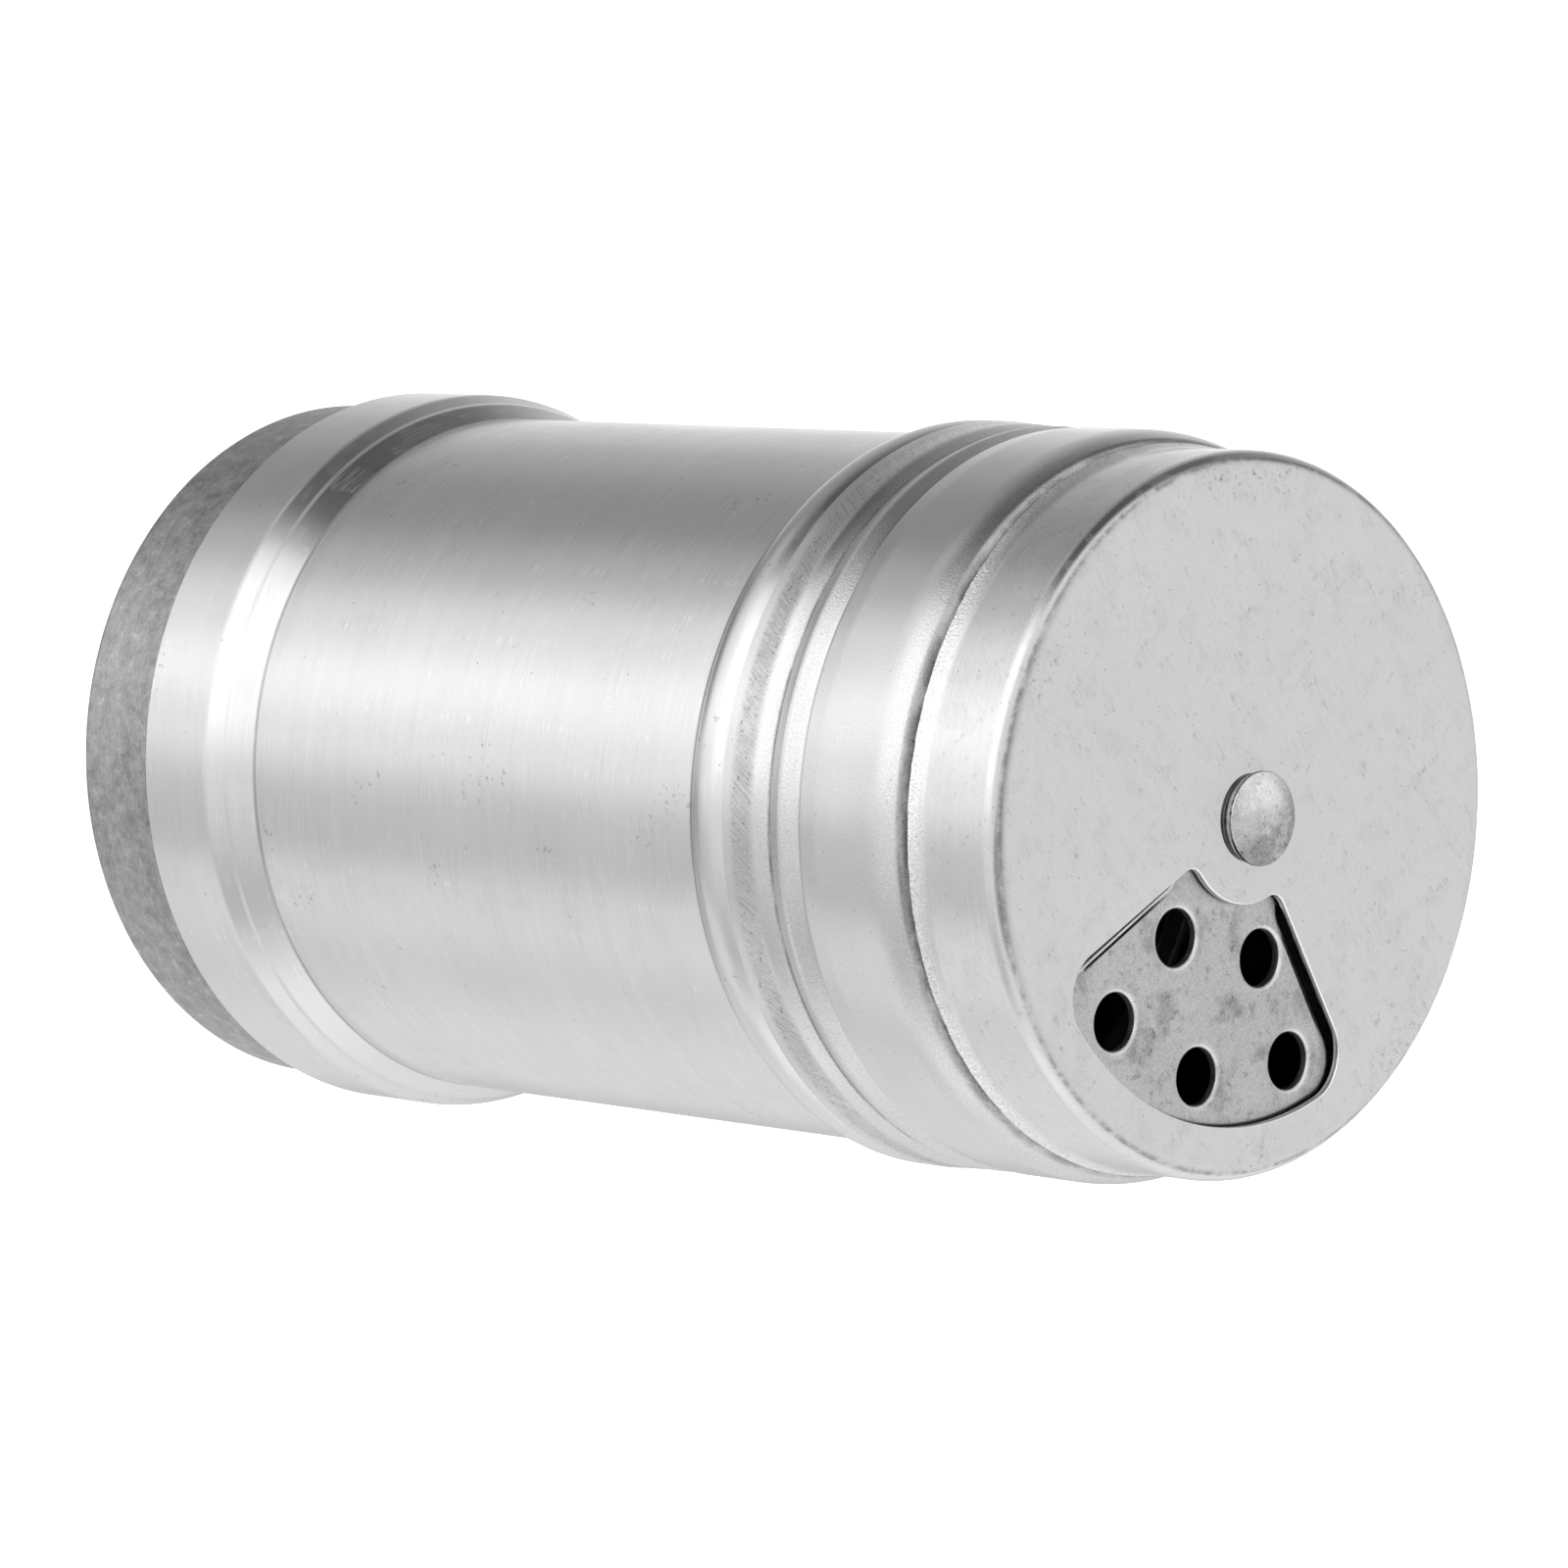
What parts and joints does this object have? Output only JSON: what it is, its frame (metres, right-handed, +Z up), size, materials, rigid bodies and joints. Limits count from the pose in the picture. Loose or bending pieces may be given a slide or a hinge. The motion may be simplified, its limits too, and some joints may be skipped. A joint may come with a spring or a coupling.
{
  "type": "spice shaker",
  "caption": "Stainless-steel spice shaker with a push-fit lid, a pressed sieve plate and a riveted cover that turns to open or close the holes.",
  "frame": {"origin": "centre of the flat standing ring under the base cup", "axes": "+Z up the tin's axis from base to lid, -Y towards the sieve holes and the open window of the cover"},
  "size_m": [0.0542, 0.0542, 0.0963],
  "materials": {
    "mill_steel": "dull mottled mill finish, not polished",
    "brushed_body": "fine brushing around the axis",
    "satin_lid": "satin, with short forming scratches along the axis",
    "satin_cover": "satin sheet with fine slanting scratches and a polished corner",
    "rivet_steel": "hammered satin dome",
    "washer_steel": "dark plain steel"
  },
  "bodies": {
    "body": {"base_cup": "mill_steel", "body_shell": "brushed_body"},
    "lid": {"lid_shell": "satin_lid", "rivet": "rivet_steel", "flat_washer": "washer_steel", "spring_washer": "washer_steel", "tail_washer": "washer_steel"},
    "cover": {"rotating_cover": "satin_cover"}
  },
  "joints": [
    {"name": "lid_pull", "type": "slide", "parent": "body", "child": "lid", "axis": [0, 0, 1], "range_m": [0, 0.03]},
    {"name": "cover_turn", "type": "hinge", "parent": "lid", "child": "cover", "pos_m": [0, 0, 0.0943], "axis": [0, 0, 1], "continuous": true}
  ]
}
